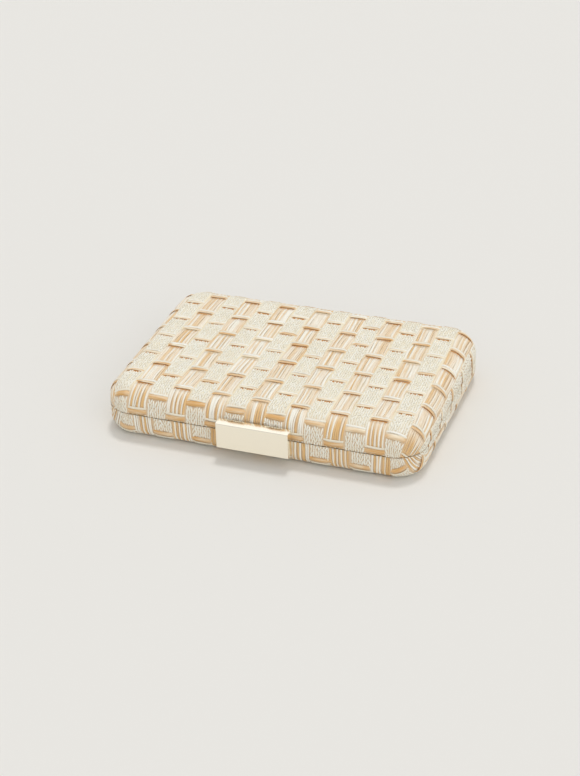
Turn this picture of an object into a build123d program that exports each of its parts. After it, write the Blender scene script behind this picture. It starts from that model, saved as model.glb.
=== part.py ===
from build123d import *
import os
from math import atan2, copysign, cos, degrees, pi, sin

# Straw box clutch: two cloth-covered shells hinged at the back, with a tilting clasp bar in front.
# Millimetres. X runs along the length, -Y is the clasp side and +Z is up. The origin is on the floor
# under the middle of the whole clutch, clasp and hinge knuckles included.

# Outside of the woven cloth, without the relief of its strips
length = 189.0
depth = 131.0
height = 30.0
parting_height = 15.5
parting_gap = 0.5
corner_radius = 17.0
lid_edge_radius = 11.0
base_edge_radius = 7.0

# Flat bands that make up each rounded edge
cover_bands = 4
tray_bands = 2

# Layers of each half, from the outside in
cover_thickness = 1.0
shell_thickness = 1.8
lining_thickness = 0.6
glue_line = 0.05

# Weave of the cloth: tape columns, straw columns and the weft bars that float over both
column_pitch = 11.5
row_pitch = 10.7
lid_column_shift = -1.6
lid_row_shift = -2.4
base_column_shift = 2.2
base_bar_rise = 9.0
tape_width = 10.6
tape_relief = 0.5
bar_relief = 0.5
bar_width = 4.4
tape_bar_length = 10.0
straw_bar_length = 9.4
gap_length = 7.0
gap_width = 0.7

# Hinges
hinge_end_inset = 38.5
hinge_width = 24.0
hinge_proud = 0.2
knuckle_radius = 1.7
knuckle_gap = 0.3
hinge_clearance = 0.3
leaf_thickness = 0.6
flange_height = 2.5
pin_radius = 0.8
pin_fit = 0.05

# Clasp
clasp_width = 43.0
clasp_height = 15.7
clasp_thickness = 6.1
clasp_rise = 7.7
clasp_gap = 0.9
clasp_wall = 0.9
clasp_bevel = 0.25
seat_margin = 0.6
pivot_rise = 3.9
pivot_setback = 2.7
pivot_radius = 0.5
ear_radius = 1.1
ear_thickness = 1.0
ear_spacing = 28.0
lug_thickness = 1.2
lug_gap = 0.3
bracket_thickness = 0.8
bracket_rise = 0.6
bracket_height = 3.7
bracket_width = 32.0
prong_spacing = 16.0
prong_rise = 2.2
prong_width = 3.0
prong_thickness = 0.6
backing_width = 24.0
backing_height = 2.6
backing_thickness = 0.5
magnet_width = 18.0
magnet_height = 4.0
magnet_thickness = 3.4
magnet_drop = 4.9
keeper_thickness = 0.8

# How far cutting shapes run past what they cut
overrun = 2.0

# Places worked out from the sizes above
full_relief = tape_relief + bar_relief
front_proud = clasp_gap + clasp_thickness
hinge_axis_proud = full_relief + hinge_proud
back_proud = hinge_axis_proud + knuckle_radius
middle_y = (front_proud - back_proud) / 2
front_y = middle_y - depth / 2
back_y = middle_y + depth / 2
base_mouth_z = parting_height - parting_gap / 2
lid_mouth_z = parting_height + parting_gap / 2
shell_inset = cover_thickness + glue_line
shell_inside = shell_inset + shell_thickness
lining_inset = shell_inside + glue_line
hollow_inset = lining_inset + lining_thickness
hinge_axis_y = back_y + hinge_axis_proud
flange_y = back_y - shell_inset - shell_thickness / 2
notch_depth = knuckle_radius + hinge_clearance
knuckle_length = (hinge_width - 2 * knuckle_gap) / 3
clasp_back_y = front_y - clasp_gap
clasp_middle_y = clasp_back_y - clasp_thickness / 2
clasp_inner_y = clasp_back_y - clasp_thickness + clasp_wall
clasp_top_z = parting_height + clasp_rise
clasp_middle_z = clasp_top_z - clasp_height / 2
pivot_y = front_y - pivot_setback
pivot_z = parting_height + pivot_rise
prong_z = parting_height + prong_rise
magnet_z = parting_height - magnet_drop


def half_form(mouth_z, flat_z, edge_radius, bands, grow):
    """Outside of one half moved outwards by grow: straight walls, then the rounded edge in flat bands."""
    up = copysign(1, flat_z - mouth_z)
    radius = edge_radius + grow
    wall_z = flat_z - up * edge_radius
    with BuildPart() as form:
        with BuildSketch(Plane((0, middle_y, mouth_z), z_dir=(0, 0, up))):
            RectangleRounded(length + 2 * grow, depth + 2 * grow, corner_radius + grow)
        extrude(amount=abs(wall_z - mouth_z))
        for band in range(bands):
            turn = pi / 2 * band / bands
            next_turn = pi / 2 * (band + 1) / bands
            inset = radius * (1 - cos(turn)) - grow
            rise = radius * (sin(next_turn) - sin(turn))
            lean = radius * (cos(turn) - cos(next_turn))
            with BuildSketch(Plane((0, middle_y, wall_z + up * radius * sin(turn)), z_dir=(0, 0, up))):
                RectangleRounded(length - 2 * inset, depth - 2 * inset, corner_radius - inset)
            extrude(amount=rise, taper=degrees(atan2(lean, rise)))
    return form.part


def lid_form(grow, bands, lower=0):
    """Outside of the lid moved outwards by grow, with its flat mouth moved down by lower."""
    return half_form(lid_mouth_z - lower, height, lid_edge_radius, bands, grow)


def base_form(grow, bands, lift=0):
    """Outside of the base moved outwards by grow, with its flat mouth moved up by lift."""
    return half_form(base_mouth_z + lift, tape_relief, base_edge_radius, bands, grow)


def wrap(distance, flat, radius):
    """Run, drop and tilt of a point that lies some distance along the cloth from the middle."""
    past = max(abs(distance) - flat, 0)
    turn = min(past / radius, pi / 2)
    run = min(abs(distance), flat) + radius * sin(turn)
    drop = radius * (1 - cos(turn)) + past - turn * radius
    return copysign(run, distance), drop, copysign(degrees(turn), distance)


def lid_place(x, y):
    """Place on the lid's cloth, from distances along the cloth, or None round a plan corner."""
    run_x, drop_x, tilt_x = wrap(x, length / 2 - lid_edge_radius, lid_edge_radius)
    run_y, drop_y, tilt_y = wrap(y, depth / 2 - lid_edge_radius, lid_edge_radius)
    straight_side = abs(y) < depth / 2 - corner_radius
    straight_end = abs(x) < length / 2 - corner_radius
    above_mouth = drop_x + drop_y < height - lid_mouth_z - bar_width / 2
    if not above_mouth or (tilt_x and not straight_side) or (tilt_y and not straight_end):
        return None
    return Location((run_x, middle_y + run_y, height - drop_x - drop_y), (-tilt_y, tilt_x, 0))


def lid_bar_places(first_column, columns, rows):
    """Places of the weft bars over every second column, in every second row of the lid."""
    places = []
    for column in range(first_column, columns + 1, 2):
        for row in range(-rows, rows + 1):
            row_y = lid_row_shift + (row - 1 / 2) * row_pitch
            place = lid_place(lid_column_shift + column * column_pitch, row_y)
            if (row - column) % 2 == 0 and place:
                places.append(place)
    return places


# Columns and rows that can lie on the cloth, counted from the middle
columns_out = int((length / 2 + height) / column_pitch)
rows_out = int((depth / 2 + height) / row_pitch)
odd_columns_out = columns_out - 1 + columns_out % 2
even_columns_out = columns_out - columns_out % 2
tape_columns = range(-odd_columns_out, odd_columns_out + 1, 2)

# Cuts that both halves share: room for the hinge knuckles and webs, and the plain field of the clasp
hinge_x = length / 2 - hinge_end_inset
hinge_places = [(-hinge_x, "left"), (hinge_x, "right")]
with BuildPart() as hinge_notches:
    with Locations(*[(x, back_y, parting_height) for x, side in hinge_places]):
        Box(hinge_width + 2 * hinge_clearance, 2 * (hollow_inset + overrun), 2 * notch_depth)
with BuildPart() as clasp_field:
    with Locations((0, front_y, clasp_middle_z)):
        Box(clasp_width + 2 * seat_margin, 2 * front_proud, clasp_height + 2 * seat_margin)

# Tape columns of the lid, which run front to back and down both walls
lid_tape_places = []
for column in tape_columns:
    x = lid_column_shift + column * column_pitch
    if abs(x) + tape_width / 2 < length / 2 - lid_edge_radius / 2:
        lid_tape_places.append((x, middle_y, height))
lid_tape_form = lid_form(tape_relief, cover_bands)
with BuildPart() as lid_tapes:
    with Locations(*lid_tape_places):
        Box(tape_width, 2 * depth, 2 * height)
    add(lid_tape_form, mode=Mode.INTERSECT)
    add(clasp_field.part, mode=Mode.SUBTRACT)

# Weft bars over the tape columns of the lid
tape_bar_places = lid_bar_places(-odd_columns_out, odd_columns_out, rows_out)
lid_high_form = lid_form(full_relief, cover_bands)
with BuildPart() as lid_tape_bars:
    with Locations(*tape_bar_places):
        Box(tape_bar_length, bar_width, 2 * overrun)
    add(lid_high_form, mode=Mode.INTERSECT)
    add(clasp_field.part, mode=Mode.SUBTRACT)

# Weft bars over the straw columns of the lid, which lie lower
straw_bar_places = lid_bar_places(-even_columns_out, even_columns_out, rows_out)
lid_low_form = lid_form(bar_relief, cover_bands)
with BuildPart() as lid_straw_bars:
    with Locations(*straw_bar_places):
        Box(straw_bar_length, bar_width, 2 * overrun)
    add(lid_low_form, mode=Mode.INTERSECT)
    add(clasp_field.part, mode=Mode.SUBTRACT)

# Gaps that the weave leaves in front of the bars over straw, on the flat of the lid
gap_places = []
for place in straw_bar_places:
    if place.position.Z == height:
        gap_places.append((place.position.X, place.position.Y - (bar_width + gap_width) / 2, height))

# Places of the bracket's two prongs, which pass through the lid's cloth, shell and backing plate
prong_places = [(side * prong_spacing / 2, front_y + shell_inside / 2, prong_z) for side in (-1, 1)]
slot_width = prong_width + 2 * pin_fit
slot_height = prong_thickness + 2 * pin_fit

# Lid cover: the woven cloth with its tapes, bars and gaps
lid_cloth_form = lid_form(0, cover_bands)
lid_cover_hollow = lid_form(-cover_thickness, tray_bands, overrun)
with BuildPart() as lid_cover:
    add(lid_cloth_form)
    add(lid_tapes.part)
    add(lid_tape_bars.part)
    add(lid_straw_bars.part)
    add(lid_cover_hollow, mode=Mode.SUBTRACT)
    add(hinge_notches.part, mode=Mode.SUBTRACT)
    with Locations(*gap_places):
        Box(gap_length, gap_width, 2 * overrun, mode=Mode.SUBTRACT)
    with Locations(*prong_places):
        Box(slot_width, 2 * shell_inside, slot_height, mode=Mode.SUBTRACT)


def flange_pocket(up):
    """Slots in a shell's back wall that take the flanges of the hinge leaves."""
    slot_reach = notch_depth - leaf_thickness + flange_height + glue_line
    with BuildPart() as pocket:
        with Locations(*[(x, flange_y, parting_height + up * slot_reach / 2) for x, side in hinge_places]):
            Box(hinge_width + 2 * glue_line, leaf_thickness + 2 * glue_line, slot_reach)
    return pocket.part


# Lid shell: the moulded tray that the cloth is glued to, with a recess for the clasp's backing plate
lid_shell_form = lid_form(-shell_inset, tray_bands)
lid_shell_hollow = lid_form(-shell_inside, tray_bands, overrun)
lid_flange_pocket = flange_pocket(1)
recess_depth = backing_thickness + glue_line
with BuildPart() as lid_shell:
    add(lid_shell_form)
    add(lid_shell_hollow, mode=Mode.SUBTRACT)
    add(hinge_notches.part, mode=Mode.SUBTRACT)
    add(lid_flange_pocket, mode=Mode.SUBTRACT)
    with Locations(*prong_places):
        Box(slot_width, 2 * shell_inside, slot_height, mode=Mode.SUBTRACT)
    with Locations((0, front_y + shell_inside, prong_z)):
        Box(backing_width + 2 * glue_line, 2 * recess_depth, backing_height + 2 * glue_line, mode=Mode.SUBTRACT)

# Lid lining
lid_lining_form = lid_form(-lining_inset, tray_bands)
lid_lining_hollow = lid_form(-hollow_inset, tray_bands, overrun)
with BuildPart() as lid_lining:
    add(lid_lining_form)
    add(lid_lining_hollow, mode=Mode.SUBTRACT)
    add(hinge_notches.part, mode=Mode.SUBTRACT)

# Tape columns of the base, which also run under it and carry it on the floor
base_columns = [base_column_shift + column * column_pitch for column in tape_columns]
base_tape_xs = [x for x in base_columns if abs(x) + tape_width / 2 < length / 2 - base_edge_radius / 2]
base_tape_form = base_form(tape_relief, cover_bands)
with BuildPart() as base_tapes:
    with Locations(*[(x, middle_y, 0) for x in base_tape_xs]):
        Box(tape_width, 2 * depth, 2 * height)
    add(base_tape_form, mode=Mode.INTERSECT)
    add(clasp_field.part, mode=Mode.SUBTRACT)

# Weft bars of the base, one row round the front and back walls
base_flat = depth / 2 - base_edge_radius
base_bar_places = []
for x in base_tape_xs:
    for side in (-1, 1):
        run, rise, tilt = wrap(side * (base_flat + base_bar_rise), base_flat, base_edge_radius)
        if abs(x) < length / 2 - corner_radius:
            base_bar_places.append(Location((x, middle_y + run, tape_relief + rise), (tilt, 0, 0)))
base_high_form = base_form(full_relief, cover_bands)
with BuildPart() as base_bars:
    with Locations(*base_bar_places):
        Box(tape_bar_length, bar_width, 2 * overrun)
    add(base_high_form, mode=Mode.INTERSECT)
    add(clasp_field.part, mode=Mode.SUBTRACT)

# Base cover: the woven cloth round the base
base_cloth_form = base_form(0, cover_bands)
base_cover_hollow = base_form(-cover_thickness, tray_bands, overrun)
with BuildPart() as base_cover:
    add(base_cloth_form)
    add(base_tapes.part)
    add(base_bars.part)
    add(base_cover_hollow, mode=Mode.SUBTRACT)
    add(hinge_notches.part, mode=Mode.SUBTRACT)

# Base shell, with a pocket in its front face for the keeper
base_shell_form = base_form(-shell_inset, tray_bands)
base_shell_hollow = base_form(-shell_inside, tray_bands, overrun)
base_flange_pocket = flange_pocket(-1)
pocket_depth = keeper_thickness + glue_line
with BuildPart() as base_shell:
    add(base_shell_form)
    add(base_shell_hollow, mode=Mode.SUBTRACT)
    add(hinge_notches.part, mode=Mode.SUBTRACT)
    add(base_flange_pocket, mode=Mode.SUBTRACT)
    with Locations((0, front_y + shell_inset, magnet_z)):
        Box(magnet_width + 2 * glue_line, 2 * pocket_depth, magnet_height + 2 * glue_line, mode=Mode.SUBTRACT)

# Base lining
base_lining_form = base_form(-lining_inset, tray_bands)
base_lining_hollow = base_form(-hollow_inset, tray_bands, overrun)
with BuildPart() as base_lining:
    add(base_lining_form)
    add(base_lining_hollow, mode=Mode.SUBTRACT)
    add(hinge_notches.part, mode=Mode.SUBTRACT)


def knuckle_places(middle_x, turns):
    """Places along a hinge's axis, as counts of knuckles from the hinge's middle."""
    step = knuckle_length + knuckle_gap
    return [Location((middle_x + n * step, hinge_axis_y, parting_height), (0, 90, 0)) for n in turns]


def hinge_leaf(middle_x, up, own, other):
    """Leaf of a hinge: a web over the wall, a flange moulded into the shell and its own knuckles."""
    web_run = hinge_axis_y - flange_y + leaf_thickness / 2
    web_z = parting_height + up * (notch_depth - leaf_thickness / 2)
    flange_z = parting_height + up * (notch_depth - leaf_thickness + flange_height / 2)
    with BuildPart() as leaf:
        with BuildSketch(Plane.YZ.offset(middle_x)):
            with Locations((hinge_axis_y - web_run / 2, web_z)):
                Rectangle(web_run, leaf_thickness)
            with Locations((flange_y, flange_z)):
                Rectangle(leaf_thickness, flange_height)
        extrude(amount=hinge_width / 2, both=True)
        with Locations(*knuckle_places(middle_x, other)):
            Box(2 * notch_depth, 2 * notch_depth, knuckle_length + 2 * knuckle_gap, mode=Mode.SUBTRACT)
        with Locations(*knuckle_places(middle_x, own)):
            Cylinder(knuckle_radius, knuckle_length)
        with Locations(*knuckle_places(middle_x, [0])):
            Cylinder(pin_radius + pin_fit, hinge_width + overrun, mode=Mode.SUBTRACT)
    return leaf.part


def hinge_pin(middle_x):
    """Plain pin, as long as its hinge."""
    with BuildPart() as pin:
        with Locations(*knuckle_places(middle_x, [0])):
            Cylinder(pin_radius, hinge_width)
    return pin.part


# Clasp bar: a hollow cast bar, open at the back, with a lug beside each ear of the bracket
lug_x = ear_spacing / 2 + ear_thickness / 2 + lug_gap + lug_thickness / 2
with BuildPart() as clasp_bar:
    with Locations((0, clasp_middle_y, clasp_middle_z)):
        Box(clasp_width, clasp_thickness, clasp_height)
    chamfer(clasp_bar.faces().sort_by(Axis.Y)[0].edges(), clasp_bevel)
    with Locations((0, clasp_middle_y + clasp_wall, clasp_middle_z)):
        Box(clasp_width - 2 * clasp_wall, clasp_thickness, clasp_height - 2 * clasp_wall, mode=Mode.SUBTRACT)
    for side in (-1, 1):
        with BuildSketch(Plane.YZ.offset(side * lug_x)):
            with Locations((pivot_y, pivot_z)):
                Circle(ear_radius)
            with Locations(((pivot_y + clasp_inner_y) / 2, pivot_z)):
                Rectangle(pivot_y - clasp_inner_y, 2 * ear_radius)
        extrude(amount=lug_thickness / 2, both=True)
    with Locations(Location((0, pivot_y, pivot_z), (0, 90, 0))):
        Cylinder(pivot_radius + pin_fit, 2 * lug_x + 2 * lug_thickness, mode=Mode.SUBTRACT)

# Clasp bracket: a plate on the lid's front wall with two ears in front and two prongs behind
prong_length = bracket_thickness + shell_inside
with BuildPart() as clasp_bracket:
    with Locations((0, front_y - bracket_thickness / 2, parting_height + bracket_rise + bracket_height / 2)):
        Box(bracket_width, bracket_thickness, bracket_height)
    with Locations(*[(x, front_y + shell_inside - prong_length / 2, z) for x, y, z in prong_places]):
        Box(prong_width, prong_length, prong_thickness)
    for side in (-1, 1):
        with BuildSketch(Plane.YZ.offset(side * ear_spacing / 2)):
            with Locations((pivot_y, pivot_z)):
                Circle(ear_radius)
            with BuildLine():
                Polyline(
                    (pivot_y, pivot_z + ear_radius),
                    (front_y - bracket_thickness, parting_height + bracket_rise + bracket_height),
                    (front_y - bracket_thickness, parting_height + bracket_rise),
                    (pivot_y, pivot_z - ear_radius),
                    close=True,
                )
            make_face()
        extrude(amount=ear_thickness / 2, both=True)
    with Locations(Location((0, pivot_y, pivot_z), (0, 90, 0))):
        Cylinder(pivot_radius + pin_fit, ear_spacing + 2 * ear_thickness, mode=Mode.SUBTRACT)

# Backing plate inside the lid's shell, which the prongs are pressed into
with BuildPart() as clasp_backing:
    with Locations((0, front_y + shell_inside - backing_thickness / 2, prong_z)):
        Box(backing_width, backing_thickness, backing_height)
    with Locations(*prong_places):
        Box(slot_width, 2 * shell_inside, slot_height, mode=Mode.SUBTRACT)


def pivot_pin(side):
    """Pin through one ear and the lug beside it, on the right for side 1 and on the left for -1."""
    inner_x = ear_spacing / 2 - ear_thickness / 2
    outer_x = lug_x + lug_thickness / 2
    with BuildPart() as pin:
        with Locations(Location((side * (inner_x + outer_x) / 2, pivot_y, pivot_z), (0, 90, 0))):
            Cylinder(pivot_radius, outer_x - inner_x)
    return pin.part


# Magnet in the bar's lower half
with BuildPart() as clasp_magnet:
    with Locations((0, clasp_inner_y + glue_line + magnet_thickness / 2, magnet_z)):
        Box(magnet_width, magnet_thickness, magnet_height)

# Keeper plate between the base's cloth and its shell
with BuildPart() as clasp_keeper:
    with Locations((0, front_y + shell_inset + keeper_thickness / 2, magnet_z)):
        Box(magnet_width, keeper_thickness, magnet_height)

pieces = {
    "lid_cover": lid_cover.part,
    "lid_shell": lid_shell.part,
    "lid_lining": lid_lining.part,
    "base_cover": base_cover.part,
    "base_shell": base_shell.part,
    "base_lining": base_lining.part,
    "clasp_bar": clasp_bar.part,
    "clasp_bracket": clasp_bracket.part,
    "clasp_backing": clasp_backing.part,
    "clasp_pivot_pin_left": pivot_pin(-1),
    "clasp_pivot_pin_right": pivot_pin(1),
    "clasp_magnet": clasp_magnet.part,
    "clasp_keeper": clasp_keeper.part,
}
for x, side in hinge_places:
    pieces["hinge_base_leaf_" + side] = hinge_leaf(x, -1, [-1, 1], [0])
    pieces["hinge_lid_leaf_" + side] = hinge_leaf(x, 1, [0], [-1, 1])
    pieces["hinge_pin_" + side] = hinge_pin(x)

os.makedirs("parts", exist_ok=True)
for name, piece in pieces.items():
    piece.label = name
    export_step(piece, f"parts/{name}.step")
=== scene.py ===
"""Looks of the straw box clutch: woven strands over both halves, gold clasp, lining, floor and light."""
import logging
import math
from dataclasses import dataclass, field
from enum import Enum
from typing import Any

import bmesh
import bpy
import numpy as np
from mathutils import Matrix, Vector


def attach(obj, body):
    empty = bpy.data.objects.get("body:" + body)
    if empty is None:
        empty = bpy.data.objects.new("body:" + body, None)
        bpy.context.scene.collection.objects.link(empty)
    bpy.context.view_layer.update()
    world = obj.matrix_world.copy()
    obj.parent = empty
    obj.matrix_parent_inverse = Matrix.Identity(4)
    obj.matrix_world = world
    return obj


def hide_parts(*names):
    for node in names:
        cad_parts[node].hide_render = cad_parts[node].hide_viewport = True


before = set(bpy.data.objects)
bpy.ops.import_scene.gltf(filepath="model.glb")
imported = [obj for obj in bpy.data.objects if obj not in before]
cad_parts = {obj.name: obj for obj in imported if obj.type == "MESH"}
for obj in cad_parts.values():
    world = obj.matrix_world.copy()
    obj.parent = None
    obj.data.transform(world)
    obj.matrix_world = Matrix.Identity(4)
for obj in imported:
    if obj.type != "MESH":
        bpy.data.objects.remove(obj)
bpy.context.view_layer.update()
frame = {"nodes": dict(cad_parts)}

LOG = logging.getLogger("clutch")
MM = 0.001
TINY = 1e-9
BUMP_DEPTH = 0.2 * MM
GRAIN_NUMBERS = 50
Colour = tuple[float, float, float, float]
Array = np.ndarray
Face = tuple[int, ...]
Pair = tuple[float, float]
Place = tuple[float, float, float]
Rows = tuple[tuple[int, float], ...]


def srgb(red: int, green: int, blue: int) -> Colour:
    """Linear colour from display values.

    Args:
        red: Red from 0 to 255.
        green: Green from 0 to 255.
        blue: Blue from 0 to 255.

    Returns:
        The linear colour with an alpha of one.
    """
    def linear(value: int) -> float:
        """Linear light of one display value."""
        share = value / 255
        return share / 12.92 if share <= 0.04045 else ((share + 0.055) / 1.055) ** 2.4

    return (linear(red), linear(green), linear(blue), 1.0)


def smooth(low: float, high: float, value: Array) -> Array:
    """Smooth step of values, from zero at the low one to one at the high one."""
    share = np.clip((value - low) / (high - low), 0.0, 1.0)
    return share * share * (3 - 2 * share)


class Half(Enum):
    """The two halves of the box."""

    LID = "lid"
    BASE = "base"


class Strip(Enum):
    """The two kinds of warp column, odd and even."""

    TAPE = 1
    STRAW = 0


class Sock:
    """A shader value that is written with plain operators."""

    def __init__(self, bench: "Bench", socket: bpy.types.NodeSocket) -> None:
        """Keep the socket and the bench that it stands on."""
        self.bench = bench
        self.socket = socket

    def _math(self, operation: str, first: Any, second: Any) -> "Sock":
        """Add a Math node for two values."""
        return self.bench.node("ShaderNodeMath", {"operation": operation}, {0: first, 1: second})

    def __add__(self, other: Any) -> "Sock":
        """Sum of the two."""
        return self._math("ADD", self, other)

    __radd__ = __add__

    def __sub__(self, other: Any) -> "Sock":
        """This less the other."""
        return self._math("SUBTRACT", self, other)

    def __rsub__(self, other: Any) -> "Sock":
        """The other less this."""
        return self._math("SUBTRACT", other, self)

    def __mul__(self, other: Any) -> "Sock":
        """Product of the two."""
        return self._math("MULTIPLY", self, other)

    __rmul__ = __mul__


class Bench:
    """The nodes of one material."""

    def __init__(self, name: str) -> None:
        """Make the material with its one shader.

        Args:
            name: The material's name.
        """
        self.material = bpy.data.materials.new(name)
        self.material.use_nodes = True
        self.tree = self.material.node_tree
        self.shader = self.tree.nodes["Principled BSDF"]

    def node(self, kind: str, settings: dict[str, Any], inputs: dict[Any, Any], output: Any = 0) -> Sock:
        """Add a node.

        Args:
            kind: The node's type.
            settings: What is set on the node before its sockets.
            inputs: Values or links of its sockets.
            output: The output that is handed on.

        Returns:
            The output as a value.
        """
        node = self.tree.nodes.new(kind)
        for key, value in settings.items():
            setattr(node, key, value)
        for key, value in inputs.items():
            self.feed(node.inputs[key], value)
        return Sock(self, node.outputs[output])

    def feed(self, target: bpy.types.NodeSocket, value: Any) -> None:
        """Link a value to a socket, or set it there.

        Args:
            target: The socket.
            value: A value of this bench, or a constant.
        """
        if isinstance(value, Sock):
            self.tree.links.new(value.socket, target)
        else:
            target.default_value = value

    def mix(self, share: Any, first: Any, second: Any) -> Sock:
        """Blend of two colours."""
        return self.node("ShaderNodeMix", {"data_type": "RGBA"}, {0: share, 6: first, 7: second}, 2)

    def set(self, **values: Any) -> None:
        """Set or link the shader's sockets, named with underscores for spaces."""
        for key, value in values.items():
            self.feed(self.shader.inputs[key.replace("_", " ")], value)


@dataclass(frozen=True)
class StrandFinish:
    """Finish of a strand with fibres along it: two colours, streaked and mottled, and a painted shade."""

    name: str
    deep: Colour
    pale: Colour
    painted_shade: Colour
    streak: float
    mottle: float
    roughness: float
    bump: float
    fineness: float = 1.6
    fibre_stretch: float = 0.12
    patch_fineness: float = 0.2
    patch_stretch: float = 0.09

    def material(self) -> bpy.types.Material:
        """Make the material.

        Returns:
            The strand's material.
        """
        bench = Bench(self.name)
        grain = bench.node("ShaderNodeAttribute", {"attribute_name": "grain"}, {}, "Vector")
        tint = bench.node("ShaderNodeAttribute", {"attribute_name": "tint"}, {}, "Fac")
        shade = bench.node("ShaderNodeAttribute", {"attribute_name": "shade"}, {}, "Fac")
        times = {"operation": "MULTIPLY"}
        fibre_size = (self.fineness, self.fibre_stretch, 1.0)
        fine = bench.node("ShaderNodeVectorMath", times, {0: grain, 1: fibre_size})
        fibre = bench.node("ShaderNodeTexNoise", {}, {"Vector": fine, "Scale": 1.0, "Detail": 2.0})
        patch_size = (self.patch_fineness, self.patch_stretch, 1.0)
        wide = bench.node("ShaderNodeVectorMath", times, {0: grain, 1: patch_size})
        patch = bench.node("ShaderNodeTexNoise", {}, {"Vector": wide, "Scale": 1.0, "Detail": 1.0})
        share = tint + (fibre - 0.5) * self.streak + (patch - 0.5) * self.mottle
        colour = bench.mix(share, self.deep, self.pale)
        bump = {"Strength": self.bump, "Distance": BUMP_DEPTH, "Height": fibre}
        normal = bench.node("ShaderNodeBump", {}, bump, "Normal")
        # Painted shade: the shade attribute mixes in the painted shade colour, on the ground past the flat
        # and at the straws' ends in front of the bars.
        bench.set(Base_Color=bench.mix(shade, colour, self.painted_shade), Roughness=self.roughness, Normal=normal)
        return bench.material


@dataclass(frozen=True)
class PlainFinish:
    """Finish of one colour, with an even grain of fine bumps where it is cloth."""

    name: str
    colour: Colour
    roughness: float
    metallic: float = 0.0
    grain: float = 0.0
    grain_scale: float = 900.0

    def material(self) -> bpy.types.Material:
        """Make the material.

        Returns:
            The plain material.
        """
        bench = Bench(self.name)
        bench.set(Base_Color=self.colour, Roughness=self.roughness, Metallic=self.metallic)
        if self.grain:
            place = bench.node("ShaderNodeTexCoord", {}, {}, "Object")
            noise = bench.node("ShaderNodeTexNoise", {}, {"Vector": place, "Scale": self.grain_scale})
            bump = {"Strength": self.grain, "Distance": BUMP_DEPTH, "Height": noise}
            bench.set(Normal=bench.node("ShaderNodeBump", {}, bump, "Normal"))
        return bench.material


class Dress(Enum):
    """Finishes of the woven covers."""

    # The third colour of each strand finish is painted shade; only the ground and the straws are given any.
    GROUND = StrandFinish(
        "cloth_ground", deep=srgb(238, 222, 190), pale=srgb(241, 231, 206), painted_shade=srgb(190, 132, 70),
        streak=0.2, mottle=0.2, roughness=0.9, bump=0.2,
    )
    YARN = StrandFinish(
        "cream_yarn", deep=srgb(234, 224, 199), pale=srgb(245, 242, 230), painted_shade=srgb(190, 132, 70),
        streak=0.3, mottle=0.3, roughness=0.85, bump=0.3,
    )
    STRAW = StrandFinish(
        "split_straw", deep=srgb(230, 189, 129), pale=srgb(248, 244, 231), painted_shade=srgb(190, 130, 66),
        streak=0.7, mottle=0.5, roughness=0.55, bump=0.4, fineness=1.2,
    )
    RAFFIA = StrandFinish(
        "raffia_strip", deep=srgb(223, 173, 107), pale=srgb(246, 234, 208), painted_shade=srgb(190, 130, 66),
        streak=1.3, mottle=0.9, roughness=0.5, bump=0.5,
    )
    WHITE = StrandFinish(
        "white_raffia", deep=srgb(236, 226, 202), pale=srgb(248, 245, 235), painted_shade=srgb(150, 100, 50),
        streak=0.5, mottle=0.3, roughness=0.5, bump=0.3,
    )
    # The gap patches' tan stands partly for the underlay that shows through a slit and partly for painted
    # shade under the bar's front edge.
    SLIT = PlainFinish("painted_shade_gap", srgb(208, 146, 78), roughness=0.9)
    RIM = PlainFinish("turned_cloth", srgb(228, 202, 158), roughness=0.9, grain=0.3)


def close_shape(piece: bpy.types.Object) -> None:
    """Remove a piece's loose points and close its cut ends with faces that point the way their neighbours do.

    Args:
        piece: The piece, which is left selected and active.
    """
    bpy.ops.object.select_all(action="DESELECT")
    bpy.context.view_layer.objects.active = piece
    piece.select_set(True)
    bpy.ops.object.mode_set(mode="EDIT")
    bpy.ops.mesh.select_all(action="SELECT")
    bpy.ops.mesh.delete_loose()
    shape = bmesh.from_edit_mesh(piece.data)
    for end in bmesh.ops.holes_fill(shape, edges=shape.edges, sides=0)["faces"]:
        corner = end.loops[0]
        if corner.link_loop_radial_next.vert == corner.vert:
            end.normal_flip()
    bmesh.update_edit_mesh(piece.data)
    bpy.ops.object.mode_set(mode="OBJECT")


def new_piece(name: str, points: list[Any], faces: list[Face]) -> bpy.types.Object:
    """Make an object from points and faces.

    Args:
        name: The object's name.
        points: Places in metres.
        faces: Numbers of the points round each face.

    Returns:
        The new object, in the scene.
    """
    mesh = bpy.data.meshes.new(name)
    mesh.from_pydata(points, [], faces)
    piece = bpy.data.objects.new(name, mesh)
    bpy.context.scene.collection.objects.link(piece)
    return piece


def node_box(name: str) -> tuple[Array, Array]:
    """Box of a CAD node.

    Args:
        name: The node's name.

    Returns:
        Its low and its high corner in millimetres.
    """
    node = frame["nodes"][name]
    points = np.array([tuple(node.matrix_world @ vertex.co) for vertex in node.data.vertices]) / MM
    return points.min(axis=0), points.max(axis=0)


def shell_middle() -> float:
    """Middle of the box along the depth in millimetres, from the lid's shell."""
    low, high = node_box("lid_shell")
    return float(low[1] + high[1]) / 2


@dataclass(frozen=True)
class Zone:
    """Part of the front where strands are pressed flat, in millimetres."""

    half: float
    low: float
    high: float
    room: float
    slope: float = 0.8

    @staticmethod
    def behind(name: str, room: float, margin: float = 0.3) -> "Zone":
        """Zone behind a CAD node of the clasp that leaves some room over the cloth."""
        low, high = node_box(name)
        return Zone(float(high[0]) + margin, float(low[2]) - margin, float(high[2]) + margin, room)

    def limit(self, x: Array, z: Array) -> Array:
        """Greatest height of strands at places along the length and above the floor."""
        away = np.maximum(np.abs(x) - self.half, np.maximum(z - self.high, self.low - z))
        return self.room + self.slope * np.maximum(away, 0.0)


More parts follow.
